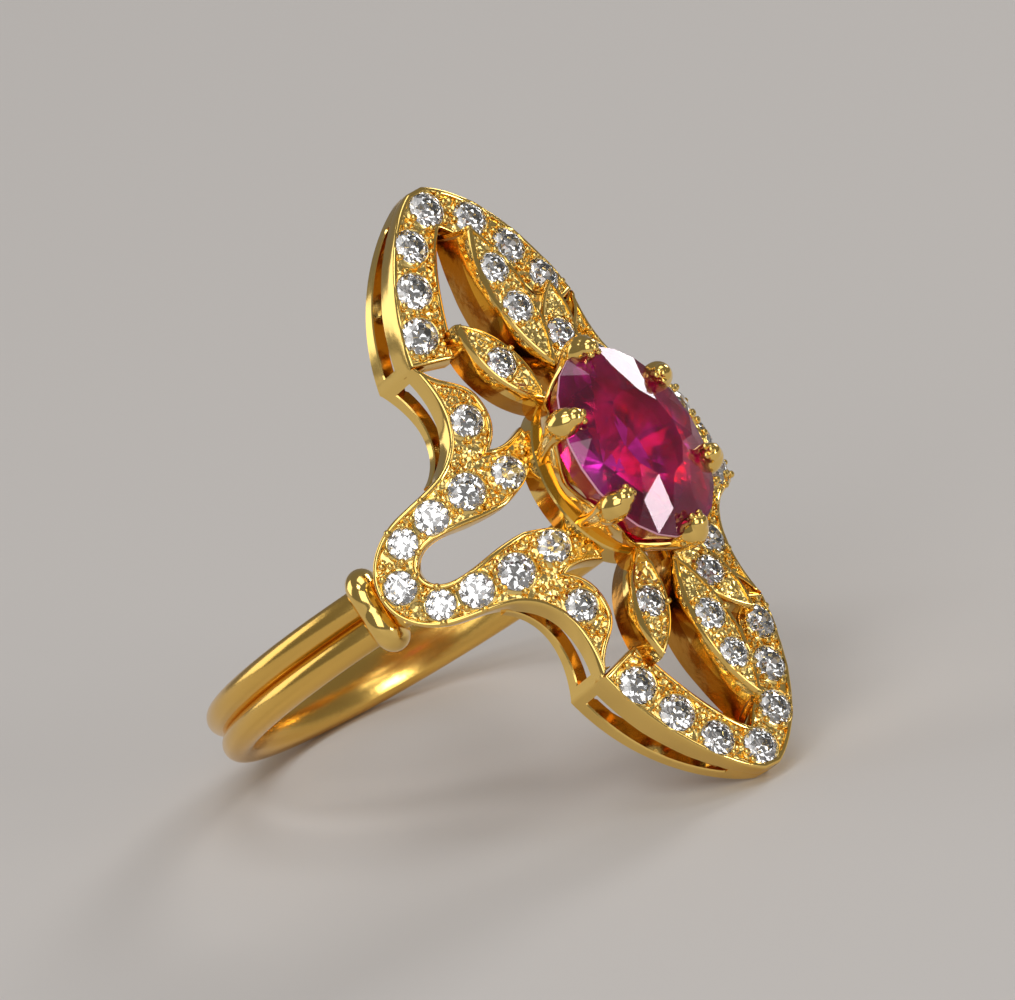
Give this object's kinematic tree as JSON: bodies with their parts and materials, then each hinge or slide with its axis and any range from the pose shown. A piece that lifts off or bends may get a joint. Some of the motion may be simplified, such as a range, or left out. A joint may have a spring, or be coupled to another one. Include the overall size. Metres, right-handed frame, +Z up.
{
  "type": "cocktail ring",
  "caption": "Gold ring with a double-wire shank and a pierced, bent head that holds a large oval red stone in claws among small round clear stones.",
  "frame": {"origin": "centre of the finger hole, in the middle of the ring", "axes": "+Z up as the ring rests, +Y across the finger, +X from the bottom of the shank towards the head; the finger hole's axis lies in the XZ plane, 29.5 degrees off vertical"},
  "size_m": [0.0243, 0.0192, 0.0213],
  "materials": {
    "gold": "polished yellow gold",
    "ruby": "faceted and polished",
    "diamond": "faceted and polished"
  },
  "bodies": {
    "root": {"mount": "gold", "ruby": "ruby", "diamond_1": "diamond", "diamond_2": "diamond", "diamond_3": "diamond", "diamond_4": "diamond", "diamond_5": "diamond", "diamond_6": "diamond", "diamond_7": "diamond", "diamond_8": "diamond", "diamond_9": "diamond", "diamond_10": "diamond", "diamond_11": "diamond", "diamond_12": "diamond", "diamond_13": "diamond", "diamond_14": "diamond", "diamond_15": "diamond", "diamond_16": "diamond", "diamond_17": "diamond", "diamond_18": "diamond", "diamond_19": "diamond", "diamond_20": "diamond", "diamond_21": "diamond", "diamond_22": "diamond", "diamond_23": "diamond", "diamond_24": "diamond", "diamond_25": "diamond", "diamond_26": "diamond", "diamond_27": "diamond", "diamond_28": "diamond", "diamond_29": "diamond", "diamond_30": "diamond", "diamond_31": "diamond", "diamond_32": "diamond", "diamond_33": "diamond", "diamond_34": "diamond", "diamond_35": "diamond", "diamond_36": "diamond", "diamond_37": "diamond", "diamond_38": "diamond", "diamond_39": "diamond", "diamond_40": "diamond", "diamond_41": "diamond", "diamond_42": "diamond", "diamond_43": "diamond", "diamond_44": "diamond"}
  },
  "joints": []
}
